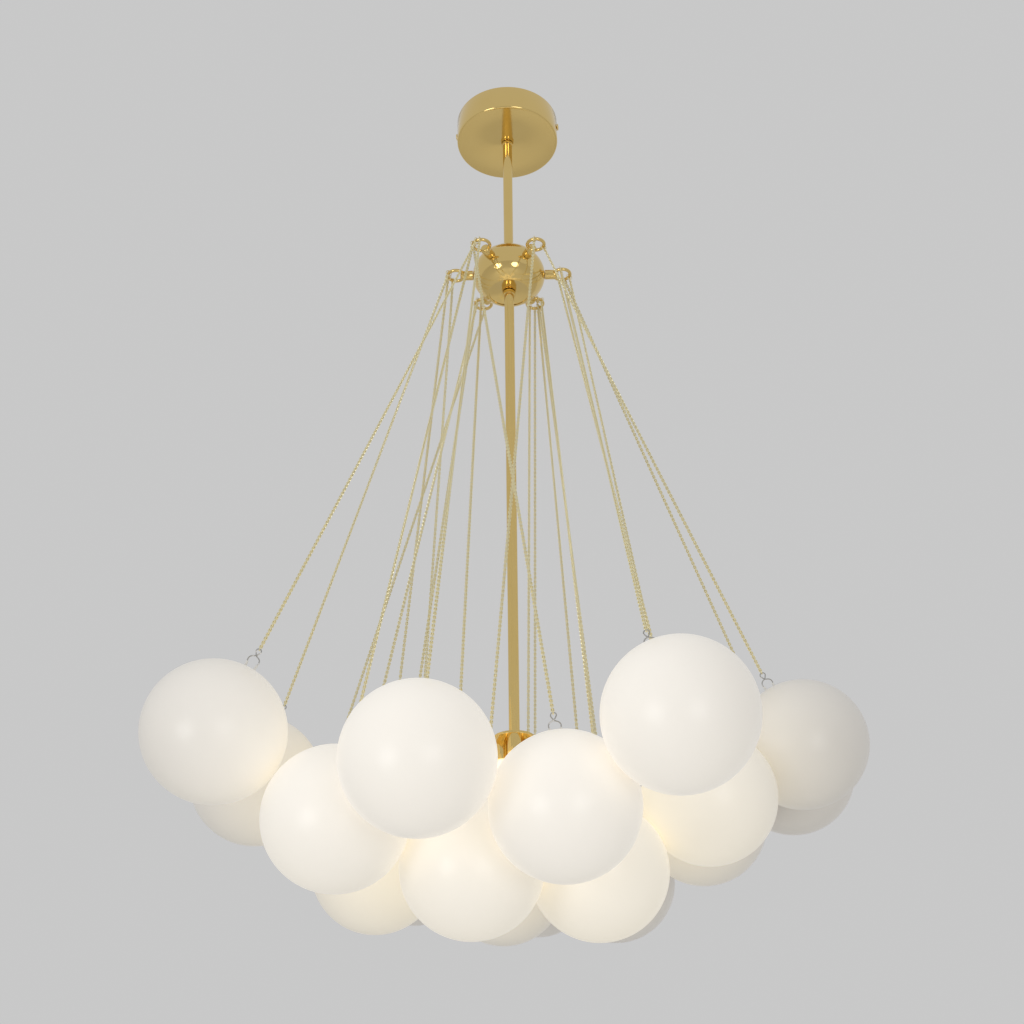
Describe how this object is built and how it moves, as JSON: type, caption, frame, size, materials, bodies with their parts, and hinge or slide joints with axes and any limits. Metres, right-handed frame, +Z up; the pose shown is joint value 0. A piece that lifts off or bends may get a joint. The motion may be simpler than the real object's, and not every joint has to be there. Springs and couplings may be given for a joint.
{
  "type": "chandelier",
  "caption": "Ceiling chandelier with a bunch of frosted glass globes hung on fine chains from a flattened ball of a hub on a down rod, round a small lamp.",
  "frame": {"origin": "centre of the ceiling bracket's top face, against the ceiling, on the down rod's axis", "axes": "+Z up along the down rod, +X to the right and +Y away for a viewer who faces the front"},
  "size_m": [0.8008, 0.8539, 1.2134],
  "materials": {
    "polished_brass": "mirror polished, warm amber",
    "chain_brass": "satin, fine chain and wire",
    "bracket_steel": "zinc plated strip",
    "frosted_glass": "etched, milky, slightly warm where it is lit",
    "bulb_glass": "frosted lamp capsule"
  },
  "bodies": {
    "fixture": {"ceiling_bracket": "bracket_steel", "canopy": "polished_brass", "canopy_screw_left": "polished_brass", "canopy_screw_right": "polished_brass", "down_rod": "polished_brass", "hub": "polished_brass", "hook_front_left": "polished_brass", "hook_front_right": "polished_brass", "hook_left": "polished_brass", "hook_rear_left": "polished_brass", "hook_rear_right": "polished_brass", "hook_right": "polished_brass", "lamp_body": "polished_brass", "bulb_1": "bulb_glass", "bulb_2": "bulb_glass", "bulb_3": "bulb_glass", "globe_03": "frosted_glass", "globe_05": "frosted_glass", "globe_07": "frosted_glass", "globe_08": "frosted_glass", "globe_09": "frosted_glass", "globe_10": "frosted_glass", "globe_14": "frosted_glass", "globe_15": "frosted_glass", "globe_19": "frosted_glass", "globe_20": "frosted_glass", "globe_21": "frosted_glass", "globe_22": "frosted_glass", "hanger_03": "chain_brass", "hanger_05": "chain_brass", "hanger_07": "chain_brass", "hanger_08": "chain_brass", "hanger_09": "chain_brass", "hanger_10": "chain_brass", "hanger_14": "chain_brass", "hanger_15": "chain_brass", "hanger_19": "chain_brass", "hanger_20": "chain_brass", "hanger_21": "chain_brass", "hanger_22": "chain_brass"},
    "globe_01_pendant": {"globe_01": "frosted_glass", "hanger_01": "chain_brass"},
    "globe_02_pendant": {"globe_02": "frosted_glass", "hanger_02": "chain_brass"},
    "globe_04_pendant": {"globe_04": "frosted_glass", "hanger_04": "chain_brass"},
    "globe_06_pendant": {"globe_06": "frosted_glass", "hanger_06": "chain_brass"},
    "globe_11_pendant": {"globe_11": "frosted_glass", "hanger_11": "chain_brass"},
    "globe_12_pendant": {"globe_12": "frosted_glass", "hanger_12": "chain_brass"},
    "globe_13_pendant": {"globe_13": "frosted_glass", "hanger_13": "chain_brass"},
    "globe_16_pendant": {"globe_16": "frosted_glass", "hanger_16": "chain_brass"},
    "globe_17_pendant": {"globe_17": "frosted_glass", "hanger_17": "chain_brass"},
    "globe_18_pendant": {"globe_18": "frosted_glass", "hanger_18": "chain_brass"}
  },
  "joints": [
    {"name": "globe_01_swing", "type": "hinge", "parent": "fixture", "child": "globe_01_pendant", "pos_m": [-0.04181, -0.0705, -0.264], "axis": [-0.5, 0.866, 0], "range_deg": [0, 15]},
    {"name": "globe_02_swing", "type": "hinge", "parent": "fixture", "child": "globe_02_pendant", "pos_m": [-0.08053, -0.0055, -0.264], "axis": [0.2756, 0.9613, 0], "range_deg": [0, 15]},
    {"name": "globe_04_swing", "type": "hinge", "parent": "fixture", "child": "globe_04_pendant", "pos_m": [-0.03359, 0.07232, -0.264], "axis": [0.342, 0.9397, 0], "range_deg": [0, 15]},
    {"name": "globe_06_swing", "type": "hinge", "parent": "fixture", "child": "globe_06_pendant", "pos_m": [-0.03741, -0.07232, -0.264], "axis": [-0.8988, 0.4384, 0], "range_deg": [0, 15]},
    {"name": "globe_11_swing", "type": "hinge", "parent": "fixture", "child": "globe_11_pendant", "pos_m": [0.04181, 0.0705, -0.264], "axis": [0.4226, -0.9063, 0], "range_deg": [0, 15]},
    {"name": "globe_12_swing", "type": "hinge", "parent": "fixture", "child": "globe_12_pendant", "pos_m": [0.0355, 0.07249, -0.264], "axis": [0.7193, -0.6947, 0], "range_deg": [0, 15]},
    {"name": "globe_13_swing", "type": "hinge", "parent": "fixture", "child": "globe_13_pendant", "pos_m": [0.06909, -0.01083, -0.264], "axis": [-0.682, 0.7314, 0], "range_deg": [0, 15]},
    {"name": "globe_16_swing", "type": "hinge", "parent": "fixture", "child": "globe_16_pendant", "pos_m": [0.04547, -0.05684, -0.264], "axis": [-0.3256, -0.9455, 0], "range_deg": [0, 15]},
    {"name": "globe_17_swing", "type": "hinge", "parent": "fixture", "child": "globe_17_pendant", "pos_m": [0.07476, 0.01034, -0.264], "axis": [0.5446, -0.8387, 0], "range_deg": [0, 15]},
    {"name": "globe_18_swing", "type": "hinge", "parent": "fixture", "child": "globe_18_pendant", "pos_m": [-0.07565, 0.00997, -0.264], "axis": [0.8746, -0.4848, 0], "range_deg": [0, 15]}
  ]
}
